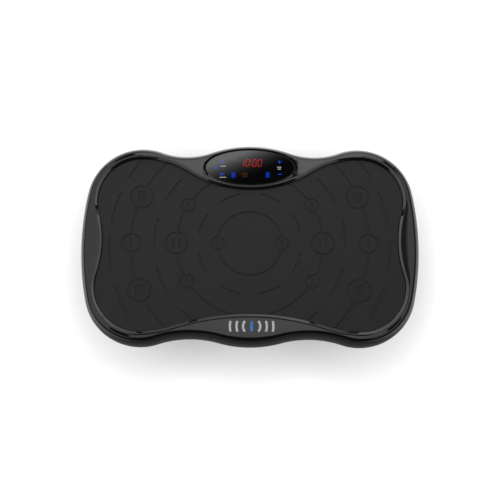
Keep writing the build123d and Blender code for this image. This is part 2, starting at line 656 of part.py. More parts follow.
def board_parts():
    """Heat sink, transformer, capacitors, relay and connectors, standing on the board."""
    z = PLATE_TOP + STANDOFF + BOARD_THICK
    parts = [block((118, 150), (-38, -14), (z, z + 26))]
    for fin in range(6):
        y = 2.0 + 6.4 * fin
        parts.append(block((118, 148), (y, y + 2.4), (z + 4, z + 26)))
    sink = block((118, 148), (2, 36.4), (z, z + 4))
    for fin in parts[1:]:
        sink += fin
    parts = [parts[0], sink]
    parts += [post(160, y, z, z + 30, 9) for y in (-28, -6)]
    parts.append(block((172, 187), (-34, -15), (z, z + 15)))
    parts += [block((168, 184), (y, y + 9), (z, z + 9)) for y in (4, 16, 28)]
    return group(parts)


def mains_inlet():
    """Three-pin appliance inlet: flange, body and open socket."""
    z = PANEL_MID_Z
    body = block((INLET_X - 16, INLET_X + 16), (PANEL_Y, PANEL_Y + 2.5), (z - 12.5, z + 12.5))
    body += block((INLET_X - 13.5, INLET_X + 13.5), (PANEL_Y - 20, PANEL_Y), (z - 9.9, z + 9.9))
    hollow = block((INLET_X - 12, INLET_X + 12), (PANEL_Y - 14.5, PANEL_Y + 5), (z - 8.2, z + 8.2))
    upper = hollow.edges().filter_by(Axis.Y).sort_by(Axis.Z)[-2:]
    return body - chamfer(upper, 4) - inlet_pins()


def inlet_pins():
    pins = []
    for x, z in ((-7, -1.9), (0, 2.1), (7, -1.9)):
        middle_x, middle_z = INLET_X + x, PANEL_MID_Z + z
        y = (PANEL_Y - 26, PANEL_Y - 3)
        pins.append(block((middle_x - 1, middle_x + 1), y, (middle_z - 2, middle_z + 2)))
    return group(pins)


def switch_frame():
    z = PANEL_MID_Z
    body = block((SWITCH_X - 11, SWITCH_X + 11), (PANEL_Y, PANEL_Y + 2), (z - 7.7, z + 7.7))
    body += block((SWITCH_X - 9.5, SWITCH_X + 9.5), (PANEL_Y - 17, PANEL_Y), (z - 6.4, z + 6.4))
    return body - block((SWITCH_X - 8.6, SWITCH_X + 8.6), (PANEL_Y - 12, PANEL_Y + 5), (z - 5.2, z + 5.2))


def power_rocker():
    """Two-faced rocker, shown with its off side pressed in."""
    rocker = Cylinder(ROCKER_R, 10)
    for side in (-1, 1):
        above = block(sorted((0, side * 12)), (4.4, 12), (-6, 6))
        rocker -= Rot(0, 0, side * ROCKER_TILT) * above
    return Pos(SWITCH_X, PANEL_Y - 2, PANEL_MID_Z) * Rot(0, 0, -ROCKER_TILT) * rocker


def fuse_holder():
    z = PANEL_MID_Z
    body = axle(FUSE_X, z, PANEL_Y - 24, PANEL_Y, 5.9) + axle(FUSE_X, z, PANEL_Y, PANEL_Y + 6, 8)
    return body - block((FUSE_X - 5, FUSE_X + 5), (PANEL_Y + 5, PANEL_Y + 9), (z - 0.8, z + 0.8))


PARTS = {
    "top_cover": top_cover, "rubber_mat": rubber_mat, "display_lens": display_lens,
    "display_board": display_board, "digit_display": digit_display, "touch_springs": touch_springs,
    "indicator_lamps": indicator_lamps, "remote_receiver": remote_receiver, "board_posts": board_posts,
    "deck_plate": deck_plate, "deck_rails": deck_rails, "pivot_lugs": pivot_lugs,
    "pivot_pins": pivot_pins, "link_clevises": link_clevises, "clevis_pins": clevis_pins,
    "cover_screws": cover_screws,
    "crankshaft": crankshaft, "driven_pulley": driven_pulley, "drive_belt": drive_belt,
    "bearing_blocks": bearing_blocks,
    "motor_housing": motor_housing, "motor_end_bells": motor_end_bells,
    "motor_magnets": motor_magnets, "motor_armature": motor_armature,
    "motor_commutator": motor_commutator, "motor_brushes": motor_brushes,
    "motor_shaft": motor_shaft, "motor_bracket": motor_bracket, "motor_screws": motor_screws,
    "drive_pulley": drive_pulley,
    "pivot_uprights": pivot_uprights, "pivot_bushes": pivot_bushes, "base_plate": base_plate,
    "chassis_bolts": chassis_bolts, "base_tub": base_tub, "rubber_feet": rubber_feet,
    "foot_studs": foot_studs, "foot_nuts": foot_nuts, "buffer_posts": buffer_posts,
    "buffer_pads": buffer_pads,
    "control_board": control_board, "board_standoffs": board_standoffs, "board_parts": board_parts,
    "mains_inlet": mains_inlet, "inlet_pins": inlet_pins, "switch_frame": switch_frame,
    "power_rocker": power_rocker, "fuse_holder": fuse_holder,
}

nodes = {name: make() for name, make in PARTS.items()}
outers, inners, balls = [], [], []
for middle_y in (-BEARING_Y, BEARING_Y):
    outer, inner, rolling = bearing_races(middle_y)
    outers.append(outer)
    inners.append(inner)
    balls += rolling
nodes["bearing_outer_rings"] = group(outers)
nodes["bearing_inner_rings"] = group(inners)
nodes["bearing_balls"] = group(balls)
for name, side in (("front", -1), ("rear", 1)):
    nodes[f"{name}_link"] = link(side)
    nodes[f"{name}_link_bush"] = link_bush(side)

os.makedirs("parts", exist_ok=True)
for name, shape in nodes.items():
    export_step(shape, f"parts/{name}.step")
print(f"{len(nodes)} nodes, rock limit {ROCK_LIMIT:.3f} degrees")
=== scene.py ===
import json
from math import asin, atan2, cos, degrees, hypot, pi, radians, sin, sqrt

import bmesh
import bpy
from mathutils import Matrix, Vector


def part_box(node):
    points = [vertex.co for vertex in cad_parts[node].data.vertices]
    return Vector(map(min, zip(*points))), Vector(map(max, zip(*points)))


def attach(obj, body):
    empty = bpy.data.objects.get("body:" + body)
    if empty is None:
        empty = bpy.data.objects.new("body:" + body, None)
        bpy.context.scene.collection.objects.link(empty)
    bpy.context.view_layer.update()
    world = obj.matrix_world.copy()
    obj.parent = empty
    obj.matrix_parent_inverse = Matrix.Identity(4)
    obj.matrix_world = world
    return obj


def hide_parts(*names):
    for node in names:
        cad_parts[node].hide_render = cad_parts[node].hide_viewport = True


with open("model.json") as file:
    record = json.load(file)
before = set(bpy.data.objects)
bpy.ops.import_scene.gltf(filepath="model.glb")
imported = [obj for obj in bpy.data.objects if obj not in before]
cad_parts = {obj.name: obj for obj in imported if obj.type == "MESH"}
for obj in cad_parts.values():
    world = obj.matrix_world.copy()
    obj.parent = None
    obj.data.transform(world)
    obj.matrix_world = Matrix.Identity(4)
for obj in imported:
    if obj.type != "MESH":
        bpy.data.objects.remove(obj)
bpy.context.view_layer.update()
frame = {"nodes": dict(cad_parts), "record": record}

MM = 0.001

# ------------------------------------------------------------- sizes, in millimetres
COVER_LOW, COVER_HIGH = [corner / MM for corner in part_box("top_cover")]
MAT_LOW, MAT_HIGH = [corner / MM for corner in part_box("rubber_mat")]
WALL = 3.0
LIP_Z = COVER_HIGH.z
FLAT_Z = LIP_Z - 0.2                 # cover outside the lip
RECESS_Z = MAT_LOW.z                 # floor of the mat recess
CEILING_Z = RECESS_Z - WALL          # underside of the cover's top

# Outlines from the middle of the rear to the middle of the front: (radius, turn in degrees)
REAR_Y = 159.4
SKIRT_ARCS = [(189.7, 19.6), (111.4, -39.7), (88.9, 98.5), (417.7, 24.3), (87.4, 95.5),
              (162.6, -33.6)]
MAT_REAR_Y = 83.2
MAT_ARCS = [(181.2, -32.4), (135.7, 33.0), (67.7, 105.5), (172.9, -32.4), (68.8, 108.8),
            (186.8, 15.4)]
CENTRE = (0.0, -3.0)                 # both outlines are star-shaped about it
MAT_STEP, SKIRT_STEP = 0.8, 1.7      # between points along the outlines

# Hollows at the two sides of the cover, each part of a sphere
SCOOP_X, SCOOP_DEPTH, SCOOP_RADIUS = 256.0, 3.2, 770.0

# Lip from the recess floor to its shoulder: (distance outside the mat, height below the lip)
LIP_INNER = [(0.6, LIP_Z - RECESS_Z), (0.6, 1.25), (0.66, 1.08), (0.85, 0.97), (1.3, 0.85),
             (3.7, 0.18), (4.05, 0.09), (4.4, 0.02), (4.8, 0.0)]
LIP_SHOULDER = 4.8
LIP_FOOT = 6.6
LIP_LEVEL, LEVEL_DEPTH = 0.9, 3.4    # share of the lip's slope lost beside a hollow this deep
STEEP_FROM, STEEP_OVER = 0.1, 2.0    # depth of hollow where its edge starts to steepen, and over which
FALL_RUN = 4.0                       # width of the slope outside the lip, for each mm of hollow
FALL_LIMIT = 0.75                    # share of the way to the cover's edge that the slope may take
FALL_STEPS, RING_STEPS = 12, 12

# Outside of the skirt
WIDEST_Z = 94.0                      # height of its widest line
TOP_INSET = 11.5                     # cover's top edge, inside the widest line
EDGE_ROUND, EDGE_TURN = 5.0, radians(50)
TOP_SLOPE = radians(62)              # lean of the wall just below the rounded edge
TUCK, TUCK_POWER = 7.0, 2.2          # how far the hem lies inside the widest line, and how abruptly
HEM_RISE = 0.8                       # height of the hem's rounding
HEM_ROUND = [(0.3, 0.2), (0.8, 0.0), (2.4, 0.0), (2.9, 0.4)]     # (past the tuck, above the hem)
EDGE_STEPS, WALL_STEPS, HEM_STEPS, BACK_STEPS = 7, 16, 8, 5
INNER_WALL = [(WALL, WIDEST_Z), (4.2, 106.0), (7.0, CEILING_Z - 1.5), (8.5, CEILING_Z)]

# Mat, made from the CAD solid
MAT_SUNK = 0.9                       # its upper side, channels and all, below the CAD solid's
MAT_FOOT = 1.0                       # the part above the recess floor that stays where it is
MAT_BEVEL = 0.6

# Display window and its sloping surround
LENS_Y, LENS_HALF = 119.8, (70.3, 28.2)
LENS_TOP = LIP_Z - 3.0
LENS_SEAT_Z = LENS_TOP - 3.0
LENS_GAP, LENS_LEDGE = 0.3, 5.0      # round the window, and under its rim
LENS_CROWN, CROWN_LOOPS = 0.05, 16
CROWN_EDGE = 0.997                   # its first loop, close to the rim, keeps the rim's shading off it
LENS_LIFT = 0.1                      # window's underside above its seat
LENS_RIM = [(0.0, 0.25), (0.06, 0.12), (0.16, 0.05), (0.3, 0.02)]    # (inset, below the top)
RIM_INSET, RIM_DOWN = LENS_RIM[-1]
BEZEL_Y, BEZEL_HALF = 119.3, (74.2, 31.0)
BEZEL_DOWN = 0.2                     # surround's outer edge below the lip

MARK_HALF = 0.04                     # half the thickness of a lit or printed mark


# ------------------------------------------------------------- outlines
def sample_chain(start_y, arcs, step):
    """Closed outline as (x, y, normal x, normal y), about step apart, clockwise from the rear."""
    x, y, heading = 0.0, start_y, 0.0
    half = []
    for radius, turn in arcs + [(None, 180 - sum(turn for _, turn in arcs))]:
        side = 1 if turn > 0 else -1
        across = (side * sin(heading), -side * cos(heading))
        reach = -x / across[0] if radius is None else radius
        centre = (x + across[0] * reach, y + across[1] * reach)
        count = max(3, round(abs(radians(turn)) * reach / step))
        first = atan2(y - centre[1], x - centre[0])
        for number in range(count):
            angle = first - radians(turn) * number / count
            spoke = (cos(angle), sin(angle))
            half.append((centre[0] + reach * spoke[0], centre[1] + reach * spoke[1],
                         side * spoke[0], side * spoke[1]))
        angle = first - radians(turn)
        x, y = centre[0] + reach * cos(angle), centre[1] + reach * sin(angle)
        heading -= radians(turn)
    left = [(-px, py, -nx, ny) for px, py, nx, ny in reversed(half[1:])]
    return half + [(0.0, y, 0.0, -1.0)] + left


def bearing(x, y):
    """Angle about CENTRE, 0 at the rear and growing clockwise."""
    return atan2(x - CENTRE[0], y - CENTRE[1]) % (2 * pi)


class Outline:
    """A star-shaped outline that can be read at any bearing."""

    def __init__(self, start_y, arcs):
        points = sample_chain(start_y, arcs, MAT_STEP)
        self.table = sorted((bearing(p[0], p[1]), p) for p in points)
        first, last = self.table[0], self.table[-1]
        self.table.append((first[0] + 2 * pi, first[1]))
        self.table.insert(0, (last[0] - 2 * pi, last[1]))

    def at(self, angle):
        """(x, y, normal x, normal y) at this bearing."""
        low, high = 0, len(self.table) - 1
        while high - low > 1:
            middle = (low + high) // 2
            if self.table[middle][0] <= angle:
                low = middle
            else:
                high = middle
        (a0, p0), (a1, p1) = self.table[low], self.table[high]
        share = (angle - a0) / (a1 - a0)
        return [u + (v - u) * share for u, v in zip(p0, p1)]


MAT_EDGE = Outline(MAT_REAR_Y, MAT_ARCS)


# ------------------------------------------------------------- mesh helpers
def mesh_object(name, vertices, faces, smooth=True):
    """Object from points in millimetres, with every face turned outwards."""
    mesh = bpy.data.meshes.new(name)
    mesh.from_pydata([Vector(v) * MM for v in vertices], [], faces)
    mesh.validate()
    made = bpy.data.objects.new(name, mesh)
    bpy.context.scene.collection.objects.link(made)
    shell = bmesh.new()
    shell.from_mesh(mesh)
    bmesh.ops.recalc_face_normals(shell, faces=shell.faces)
    shell.to_mesh(mesh)
    shell.free()
    mesh.polygons.foreach_set("use_smooth", [smooth] * len(mesh.polygons))
    return made


def stack_loops(name, loops):
    """Closed solid skinned over a stack of loops that all have the same number of points."""
    count = len(loops[0])
    vertices = [point for loop in loops for point in loop]
    faces = []
    for level in range(len(loops) - 1):
        base = level * count
        for number in range(count):
            after = (number + 1) % count
            faces.append((base + number, base + after, base + count + after, base + count + number))
    faces.append(tuple(range(count)))
    faces.append(tuple(range((len(loops) - 1) * count, len(loops) * count)))
    return mesh_object(name, vertices, faces)


def apply_modifiers(obj):
    """Replace the mesh by what its modifiers make of it."""
    evaluated = obj.evaluated_get(bpy.context.evaluated_depsgraph_get())
    mesh = bpy.data.meshes.new_from_object(evaluated)
    old = obj.data
    obj.modifiers.clear()
    obj.data = mesh
    bpy.data.meshes.remove(old)


def crease(obj, smoothest):
    """Shade smooth, with sharp edges where faces meet at more than smoothest degrees."""
    obj.data.polygons.foreach_set("use_smooth", [True] * len(obj.data.polygons))
    obj.data.set_sharp_from_angle(angle=radians(smoothest))


def smoothstep(value):
    value = min(1.0, max(0.0, value))
    return value * value * (3 - 2 * value)


def ellipse_loop(half, centre_y, z, count=160):
    turns = [2 * pi * number / count for number in range(count)]
    return [(half[0] * cos(a), centre_y + half[1] * sin(a), z) for a in turns]


# ------------------------------------------------------------- cover
def scoop(x, y):
    """How far the side hollows lie below the cover's flat."""
    spread = (abs(x) - SCOOP_X) ** 2 + y * y
    return max(0.0, SCOOP_DEPTH - SCOOP_RADIUS + sqrt(max(0.0, SCOOP_RADIUS ** 2 - spread)))


def flat_z(x, y):
    return FLAT_Z - scoop(x, y)


def tuck(share):
    """How far the skirt has drawn in, at a share of the way from its widest line to its hem."""
    return TUCK * share ** TUCK_POWER


def wall_profile(top_z):
    """(inset, height) down the outside of the skirt, round its hem and up inside to the ceiling."""
    points = []
    for number in range(EDGE_STEPS):
        turn = EDGE_TURN * number / EDGE_STEPS
        points.append((TOP_INSET - EDGE_ROUND * sin(turn), top_z - EDGE_ROUND * (1 - cos(turn))))
    edge_inset = TOP_INSET - EDGE_ROUND * sin(EDGE_TURN)
    edge_z = top_z - EDGE_ROUND * (1 - cos(EDGE_TURN))
    for number in range(WALL_STEPS + 1):
        turn = TOP_SLOPE * (1 - number / WALL_STEPS)
        inset = edge_inset * (1 - cos(turn)) / (1 - cos(TOP_SLOPE))
        points.append((inset, WIDEST_Z + (edge_z - WIDEST_Z) * sin(turn) / sin(TOP_SLOPE)))
    hem_z = COVER_LOW.z
    for number in range(1, HEM_STEPS + 1):
        share = number / HEM_STEPS
        points.append((tuck(share), WIDEST_Z + (hem_z + HEM_RISE - WIDEST_Z) * share))
    points += [(TUCK + past, hem_z + above) for past, above in HEM_ROUND]
    for number in range(BACK_STEPS - 1, 0, -1):
        share = number / BACK_STEPS
        points.append((tuck(share) + WALL, WIDEST_Z + (hem_z - WIDEST_Z) * share))
    return points + INNER_WALL


def lip_column(edge):
    """Points from the recess floor over the lip and down its slope, on the way out to edge."""
    x, y, nx, ny = MAT_EDGE.at(bearing(*edge))
    hollow = scoop(x + LIP_FOOT * nx, y + LIP_FOOT * ny)
    level = LIP_LEVEL * smoothstep(hollow / LEVEL_DEPTH)
    column = []
    for out, down in LIP_INNER:
        if down < 1.0:
            down *= 1 - level
        column.append((x + out * nx, y + out * ny, LIP_Z - down))
    steep = smoothstep((hollow - STEEP_FROM) / STEEP_OVER)
    run = min(LIP_FOOT - LIP_SHOULDER + FALL_RUN * hollow,
              FALL_LIMIT * hypot(edge[0] - x, edge[1] - y) - LIP_SHOULDER)
    for number in range(1, FALL_STEPS + 1):
        share = number / FALL_STEPS
        out = LIP_SHOULDER + run * share
        place = (x + out * nx, y + out * ny)
        fall = steep * (1 - (1 - share) ** 2) + (1 - steep) * smoothstep(share)
        column.append((*place, LIP_Z + (flat_z(*place) - LIP_Z) * fall))
    return column


def cover_columns():
    """One list of points for each place round the cover, from the recess floor out and under."""
    columns = []
    for px, py, nx, ny in sample_chain(REAR_Y, SKIRT_ARCS, SKIRT_STEP):
        edge = (px - TOP_INSET * nx, py - TOP_INSET * ny)
        column = lip_column(edge)
        foot = column[-1]
        for number in range(1, RING_STEPS):
            share = number / RING_STEPS
            x = foot[0] + (edge[0] - foot[0]) * share
            y = foot[1] + (edge[1] - foot[1]) * share
            column.append((x, y, flat_z(x, y)))
        for inset, z in wall_profile(flat_z(*edge)):
            column.append((px - inset * nx, py - inset * ny, z))
        columns.append(column)
    return columns


def grown(half, extra):
    """Ellipse radii, each larger by extra."""
    return [radius + extra for radius in half]


def lens_cutter():
    """Everything that the display takes out of the cover."""
    ledge, seat = grown(LENS_HALF, -LENS_LEDGE), grown(LENS_HALF, LENS_GAP)
    below, above = 5.0, 2.0          # how far the cutter reaches past the cover
    loops = [ellipse_loop(ledge, LENS_Y, CEILING_Z - below),
             ellipse_loop(ledge, LENS_Y, LENS_SEAT_Z),
             ellipse_loop(seat, LENS_Y, LENS_SEAT_Z),
             ellipse_loop(seat, LENS_Y, LENS_TOP - LENS_GAP),
             ellipse_loop(BEZEL_HALF, BEZEL_Y, LIP_Z - BEZEL_DOWN),
             ellipse_loop(grown(BEZEL_HALF, above), BEZEL_Y, LIP_Z + above)]
    return stack_loops("lens_cutter", loops)


def build_cover():
    loops = [list(loop) for loop in zip(*cover_columns())]
    cover = stack_loops("cover_shell", loops)
    cutter = lens_cutter()
    cut = cover.modifiers.new("display", "BOOLEAN")
    cut.operation, cut.solver, cut.object = "DIFFERENCE", "EXACT", cutter
    apply_modifiers(cover)
    bpy.data.objects.remove(cutter)
    crease(cover, smoothest=32)
    return cover


# ------------------------------------------------------------- mat
def build_mat():
    """The CAD mat with its upper side a little lower and every edge rounded."""
    source = frame["nodes"]["rubber_mat"]
    mat = bpy.data.objects.new("standing_mat", source.data.copy())
    bpy.context.scene.collection.objects.link(mat)
    mesh = bmesh.new()
    mesh.from_mesh(mat.data)
    bmesh.ops.remove_doubles(mesh, verts=mesh.verts, dist=0.01 * MM)
    bmesh.ops.dissolve_limit(mesh, angle_limit=radians(2), verts=mesh.verts, edges=mesh.edges)
    for vertex in mesh.verts:
        if vertex.co.z / MM > RECESS_Z + MAT_FOOT:
            vertex.co.z -= MAT_SUNK * MM
    mesh.to_mesh(mat.data)
    mesh.free()
    mat.data.materials.clear()
    bevel = mat.modifiers.new("rounding", "BEVEL")
    bevel.width, bevel.segments = MAT_BEVEL * MM, 3
    bevel.limit_method, bevel.angle_limit = "ANGLE", radians(40)
    mat.data.polygons.foreach_set("use_smooth", [True] * len(mat.data.polygons))
    flatten = mat.modifiers.new("even shading", "WEIGHTED_NORMAL")
    flatten.mode, flatten.weight = "FACE_AREA", 100
    apply_modifiers(mat)
    return mat


# ------------------------------------------------------------- display
def build_lens():
    """Smoked window with a slight crown and a rounded rim."""
    loops = [ellipse_loop(LENS_HALF, LENS_Y, LENS_SEAT_Z + LENS_LIFT)]
    for inset, down in LENS_RIM:
        loops.append(ellipse_loop(grown(LENS_HALF, -inset), LENS_Y, LENS_TOP - down))
    for number in range(CROWN_LOOPS):
        share = 1 - number / CROWN_LOOPS if number else CROWN_EDGE
        half = [radius * share for radius in grown(LENS_HALF, -RIM_INSET)]
        z = LENS_TOP - RIM_DOWN + LENS_CROWN * (1 - share ** 2)
        loops.append(ellipse_loop(half, LENS_Y, z))
    lens = stack_loops("display_window", loops)
    crease(lens, smoothest=50)
    return lens


def lens_z(x, y):
    across = (x / LENS_HALF[0]) ** 2 + ((y - LENS_Y) / LENS_HALF[1]) ** 2
    return LENS_TOP - RIM_DOWN + LENS_CROWN * (1 - across)


# ------------------------------------------------------------- flat shapes for the marks
def marks(name, outlines, ground):
    """Flat marks, each a closed outline, lying on ground(x, y)."""
    vertices, faces = [], []
    for outline in outlines:
        start, count = len(vertices), len(outline)
        vertices += [(x, y, ground(x, y) - MARK_HALF) for x, y in outline]
        vertices += [(x, y, ground(x, y) + MARK_HALF) for x, y in outline]
        faces.append(tuple(range(start, start + count)))
        faces.append(tuple(range(start + count, start + 2 * count)))
        for number in range(count):
            after = (number + 1) % count
            faces.append((start + number, start + after, start + count + after,
                          start + count + number))
    return mesh_object(name, vertices, faces, smooth=False)


def stroke(x0, y0, x1, y1, width, tip=0.0):
    """Straight bar with pointed or square ends."""
    length = hypot(x1 - x0, y1 - y0)
    ux, uy = (x1 - x0) / length, (y1 - y0) / length
    hx, hy = -uy * width / 2, ux * width / 2
    shape = [(x0 + hx, y0 + hy), (x0 - tip * ux, y0 - tip * uy), (x0 - hx, y0 - hy),
             (x1 - hx, y1 - hy), (x1 + tip * ux, y1 + tip * uy), (x1 + hx, y1 + hy)]
    return shape if tip else [shape[0], shape[2], shape[3], shape[5]]


def upright(x, low, high, width, tip=0.0):
    return stroke(x, low, x, high, width, tip)


def level_bar(left, right, y, width):
    return stroke(left, y, right, y, width)


def arc_band(x, y, radius, width, first, last, steps=20):
    """Part of a ring, between two angles in degrees."""
    angles = [radians(first + (last - first) * n / steps) for n in range(steps + 1)]
    outer, inner = radius + width / 2, radius - width / 2
    return ([(x + outer * cos(a), y + outer * sin(a)) for a in angles]
            + [(x + inner * cos(a), y + inner * sin(a)) for a in reversed(angles)])


def disc(x, y, radius, steps=24):
    return [(x + radius * cos(2 * pi * n / steps), y + radius * sin(2 * pi * n / steps))
            for n in range(steps)]


def frame_box(x, y, half_x, half_y, width):
    """Outline of a rectangle as four bars."""
    inner_y = half_y - width
    edge_x, edge_y = half_x - width / 2, half_y - width / 2
    return [level_bar(x - half_x, x + half_x, y + edge_y, width),
            level_bar(x - half_x, x + half_x, y - edge_y, width),
            upright(x - edge_x, y - inner_y, y + inner_y, width),
            upright(x + edge_x, y - inner_y, y + inner_y, width)]


# ------------------------------------------------------------- digits
SEGMENTS = {"0": "abcdef", "1": "bc"}
DIGIT_WIDTH, DIGIT_HEIGHT, DIGIT_SLANT = 5.2, 11.2, radians(8)
DIGIT_Y, DIGIT_STROKE = 127.2, 1.1
DIGIT_GAP, DIGIT_TIP = 0.75, DIGIT_STROKE / 2.4
READOUT = [("1", -12.9), ("0", -4.2), ("0", 6.5), ("0", 14.9)]     # (figure, its middle)
COLON_X, COLON_LEAN, COLON_HALF, COLON_RADIUS = 1.55, 0.35, 2.6, 0.85


def digit(mark, x):
    """Slanted seven-segment figure whose middle is at (x, DIGIT_Y)."""
    w, h, gap = DIGIT_WIDTH / 2, DIGIT_HEIGHT / 2, DIGIT_GAP
    ends = {"a": (-w + gap, h, w - gap, h), "b": (w, gap, w, h - gap),
            "c": (w, -h + gap, w, -gap), "d": (-w + gap, -h, w - gap, -h),
            "e": (-w, -h + gap, -w, -gap), "f": (-w, gap, -w, h - gap)}
    shapes = []
    for segment in SEGMENTS[mark]:
        bar = stroke(*ends[segment], DIGIT_STROKE, DIGIT_TIP)
        shapes.append([(x + px + py * sin(DIGIT_SLANT), DIGIT_Y + py) for px, py in bar])
    return shapes


def build_readout():
    shapes = []
    for mark, x in READOUT:
        shapes += digit(mark, x)
    for side in (1, -1):
        shapes.append(disc(COLON_X + side * COLON_LEAN, DIGIT_Y + side * COLON_HALF, COLON_RADIUS))
    return marks("readout_digits", shapes, lens_z)


# ------------------------------------------------------------- key symbols and labels
TILES = [(-26.8, 107.5), (27.3, 107.8)]
TILE_HALF, TILE_WIDTH = 4.7, 7.0
TILE_SUNK = 0.03                     # tiles below the figures that stand on them
LABELS = [(-47.2, -38.4, 121.7, 1.3), (-48.4, -38.2, 103.6, 1.2), (42.3, 48.6, 120.4, 1.5),
          (43.0, 48.2, 117.4, 1.5)]  # (left, right, y, width)


def power_symbol(x, y):
    return [arc_band(x, y, 2.3, 0.75, 125, 415), upright(x, y + 0.4, y + 3.2, 0.75)]


def menu_symbol(x, y):
    return [level_bar(x - 2.2, x + 2.2, y + step, 0.9) for step in (-2.4, 0.0, 2.4)]


def play_symbol(x, y):
    return [[(x - 2.6, y - 2.4), (x + 1.6, y), (x - 2.6, y + 2.4)],
            upright(x + 2.5, y - 2.4, y + 2.4, 0.9)]


def plus_symbol(x, y):
    arm, width = 2.6, 1.3
    return [level_bar(x - arm, x + arm, y, width), upright(x, y + width / 2, y + arm, width),
            upright(x, y - arm, y - width / 2, width)]


def minus_symbol(x, y):
    return [level_bar(x - 2.7, x + 2.7, y, 1.3)]


def figure_symbol(x, y):
    return [disc(x, y + 2.3, 0.9), upright(x, y - 3.0, y + 0.8, 1.3)]


def build_key_marks():
    keys = [(power_symbol, -54.5, 119.0), (menu_symbol, -44.4, 129.5), (play_symbol, -44.2, 109.0),
            (plus_symbol, 46.0, 129.0), (minus_symbol, 46.3, 109.1)]
    keys += [(figure_symbol, x, y) for x, y in TILES]
    shapes = []
    for symbol, x, y in keys:
        shapes += symbol(x, y)
    return marks("key_marks", shapes, lens_z)


def build_tiles():
    shapes = [upright(x, y - TILE_HALF, y + TILE_HALF, TILE_WIDTH) for x, y in TILES]
    return marks("key_tiles", shapes, lambda x, y: lens_z(x, y) - TILE_SUNK)


def build_amber_marks():
    """A framed mode sign, and a small lamp above it."""
    x, y = -8.7, 107.7
    shapes = frame_box(x, y, 3.6, 3.2, 0.42)
    shapes += [level_bar(x - 2.2, x + 2.2, y, 0.6), level_bar(-25.7, -21.9, 132.0, 2.0)]
    return marks("amber_marks", shapes, lens_z)


def build_labels():
    return marks("key_labels", [level_bar(*label) for label in LABELS], lens_z)


# ------------------------------------------------------------- emblem on the front of the cover
EMBLEM_X, EMBLEM_Y = 3.0, -131.0
WAVE_RADII, WAVE_HALF, WAVE_WIDTH = (13.0, 23.0, 33.0), 8.0, 3.4
BAR_HALF, BAR_WIDTH, BAR_TIP = 6.5, 4.2, 2.0


def build_emblem():
    """Waves of a plain sign for vibration, either side of its bar."""
    shapes = []
    for radius in WAVE_RADII:
        spread = degrees(asin(WAVE_HALF / radius))
        for middle in (0, 180):
            shapes.append(arc_band(EMBLEM_X, EMBLEM_Y, radius, WAVE_WIDTH, middle - spread,
                                   middle + spread))
    return marks("emblem_waves", shapes, flat_z)


def build_emblem_bar():
    bar = upright(EMBLEM_X, EMBLEM_Y - BAR_HALF, EMBLEM_Y + BAR_HALF, BAR_WIDTH, BAR_TIP)
    return marks("emblem_bar", [bar], flat_z)


# ------------------------------------------------------------- materials
NOISE_LOW, NOISE_HIGH = 0.3, 0.7     # where nearly all of a noise node's values lie
PATCH_SCALE = 60.0


def new_material(name):
    material = bpy.data.materials.new(name)
    material.use_nodes = True
    tree = material.node_tree
    shader = tree.nodes["Principled BSDF"]
    return material, tree, shader


def add_noise(tree, scale):
    """Noise node laid out in the object's own space."""
    place = tree.nodes.new("ShaderNodeTexCoord")
    noise = tree.nodes.new("ShaderNodeTexNoise")
    noise.inputs["Scale"].default_value = scale
    noise.inputs["Detail"].default_value = 3.0
    noise.inputs["Roughness"].default_value = 0.5
    tree.links.new(place.outputs["Object"], noise.inputs["Vector"])
    return noise


def add_range(tree, source, low, high):
    """Noise stretched to run from low to high."""
    span = tree.nodes.new("ShaderNodeMapRange")
    span.inputs["From Min"].default_value = NOISE_LOW
    span.inputs["From Max"].default_value = NOISE_HIGH
    span.inputs["To Min"].default_value = low
    span.inputs["To Max"].default_value = high
    tree.links.new(source, span.inputs["Value"])
    return span.outputs["Result"]


def add_bump(tree, shader, height, distance):
    bump = tree.nodes.new("ShaderNodeBump")
    bump.inputs["Strength"].default_value = 1.0
    bump.inputs["Distance"].default_value = distance
    tree.links.new(height, bump.inputs["Height"])
    tree.links.new(bump.outputs["Normal"], shader.inputs["Normal"])


def mottled(tree, shader, dark, light):
    """Base colour in soft patches between two tones."""
    noise = add_noise(tree, PATCH_SCALE)
    ramp = tree.nodes.new("ShaderNodeValToRGB")
    first, last = ramp.color_ramp.elements
    first.position, last.position = NOISE_LOW, NOISE_HIGH
    first.color, last.color = (*dark, 1), (*light, 1)
    tree.links.new(noise.outputs["Fac"], ramp.inputs["Fac"])
    tree.links.new(ramp.outputs["Color"], shader.inputs["Base Color"])


def surface(name, dark, light, rough, grain, bump, metallic=0.0, ior=1.5):
    """Procedural surface: two close tones, a roughness range and a relief bump mm deep."""
    material, tree, shader = new_material(name)
    mottled(tree, shader, dark, light)
    shader.inputs["Metallic"].default_value = metallic
    shader.inputs["IOR"].default_value = ior
    noise = add_noise(tree, grain)
    tree.links.new(add_range(tree, noise.outputs["Fac"], *rough), shader.inputs["Roughness"])
    if bump:
        add_bump(tree, shader, noise.outputs["Fac"], bump * MM)
    return material


def grey(value):
    return (value, value, value * 1.02)


def math_node(tree, operation, first, second=None, third=None, clamp=False):
    """Math node whose inputs are numbers or sockets; gives its output socket."""
    node = tree.nodes.new("ShaderNodeMath")
    node.operation, node.use_clamp = operation, clamp
    for socket, value in zip(node.inputs, (first, second, third)):
        if value is None:
            continue
        if isinstance(value, (int, float)):
            socket.default_value = value
        else:
            tree.links.new(value, socket)
    return node.outputs["Value"]


def ramp_between(tree, value, start, end, low, high):
    """Smooth change from low at start to high at end."""
    span = tree.nodes.new("ShaderNodeMapRange")
    span.interpolation_type = "SMOOTHSTEP"
    tree.links.new(value, span.inputs["Value"])
    for name, number in (("From Min", start), ("From Max", end), ("To Min", low), ("To Max", high)):
        span.inputs[name].default_value = number
    return span.outputs["Result"]


